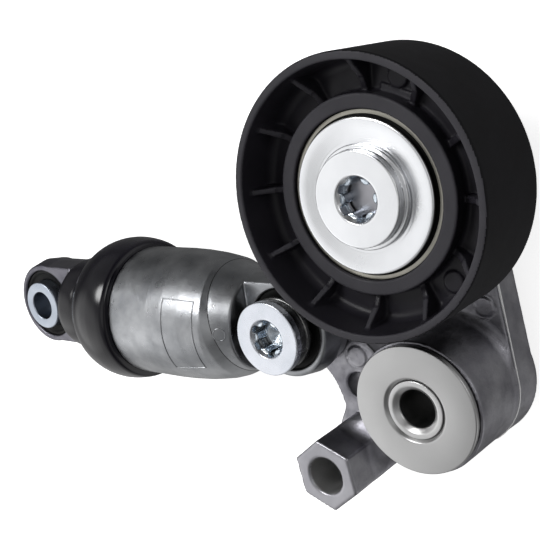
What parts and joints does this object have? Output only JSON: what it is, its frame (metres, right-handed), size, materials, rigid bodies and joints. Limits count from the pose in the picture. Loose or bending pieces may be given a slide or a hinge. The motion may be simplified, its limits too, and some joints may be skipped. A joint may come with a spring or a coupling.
{
  "type": "hydraulic belt tensioner",
  "caption": "Cast swing arm carrying a ribbed idler pulley on a sealed ball bearing, pushed round its pivot by a sprung hydraulic strut with a rubber boot and two rubber-bushed eyes.",
  "frame": {"origin": "on the pivot axis, in the plane of the rear mounting face", "axes": "+Z along the pivot axis, from the mounting face to the front; +Y from the pivot axis to the pulley axis; +X completes the right-handed set, so the strut points to -X"},
  "size_m": [0.2097, 0.1286, 0.0546],
  "materials": {
    "zinc_steel": "bright zinc plate",
    "machined_steel": "turned, satin",
    "bearing_steel": "ground",
    "dark_steel": "plain spring and tube steel",
    "cast_arm": "die cast, dark grey skin",
    "cast_strut": "die cast, light grey skin",
    "pulley_plastic": "moulded, black satin",
    "boot_rubber": "smooth black, slight gloss",
    "bush_rubber": "matt black",
    "seal_rubber": "matt black",
    "cage_plastic": "moulded, tan",
    "friction_plastic": "matt black",
    "bush_bronze": "lined bronze, dark"
  },
  "bodies": {
    "mount": {"pivot_sleeve": "zinc_steel", "thrust_disc": "machined_steel", "rear_washer": "machined_steel"},
    "arm": {"tensioner_arm": "cast_arm", "pivot_bushes": "bush_bronze", "friction_ring": "friction_plastic", "pulley_bolt": "zinc_steel", "dust_cap": "zinc_steel", "bearing_inner_ring": "bearing_steel", "strut_bolt": "zinc_steel", "strut_spacer": "zinc_steel"},
    "pulley": {"pulley": "pulley_plastic", "bearing_outer_ring": "bearing_steel", "bearing_seals": "seal_rubber"},
    "ball_cage": {"ball_cage": "cage_plastic", "bearing_balls": "bearing_steel"},
    "strut": {"strut_housing": "cast_strut", "housing_bush": "bush_rubber", "pressure_cylinder": "dark_steel", "check_valve": "dark_steel", "rear_spring_seat": "dark_steel", "return_spring": "dark_steel", "boot": "boot_rubber"},
    "rod": {"piston_rod": "zinc_steel", "rod_eye": "cast_strut", "front_spring_seat": "dark_steel", "rod_eye_bush": "bush_rubber"},
    "eye_sleeve": {"eye_sleeve": "zinc_steel"}
  },
  "joints": [
    {"name": "arm_pivot", "type": "hinge", "parent": "mount", "child": "arm", "pos_m": [0, 0, 0.0155], "axis": [0, 0, 1], "range_deg": [-10, 20]},
    {"name": "pulley_spin", "type": "hinge", "parent": "arm", "child": "pulley", "pos_m": [0, 0.0586, 0.0343], "axis": [0, 0, 1], "continuous": true},
    {"name": "cage_spin", "type": "hinge", "parent": "arm", "child": "ball_cage", "pos_m": [0, 0.0586, 0.0343], "axis": [0, 0, 1], "continuous": true},
    {"name": "strut_pivot", "type": "hinge", "parent": "arm", "child": "strut", "pos_m": [-0.0466, 0.0166, 0.018], "axis": [0, 0, 1], "range_deg": [-30, 15]},
    {"name": "rod_slide", "type": "slide", "parent": "strut", "child": "rod", "axis": [-0.9994, 0.0349, 0], "range_m": [-0.01, 0], "stiffness_N_per_m": 15000, "springref_m": 0.008, "deforming": ["return_spring", "boot"]},
    {"name": "eye_twist", "type": "hinge", "parent": "rod", "child": "eye_sleeve", "pos_m": [-0.15893, 0.02052, 0.018], "axis": [0, 0, 1], "range_deg": [-12, 12]}
  ],
  "couplings": [
    {"joint": "cage_spin", "follows": "pulley_spin", "ratio": 0.6386}
  ]
}
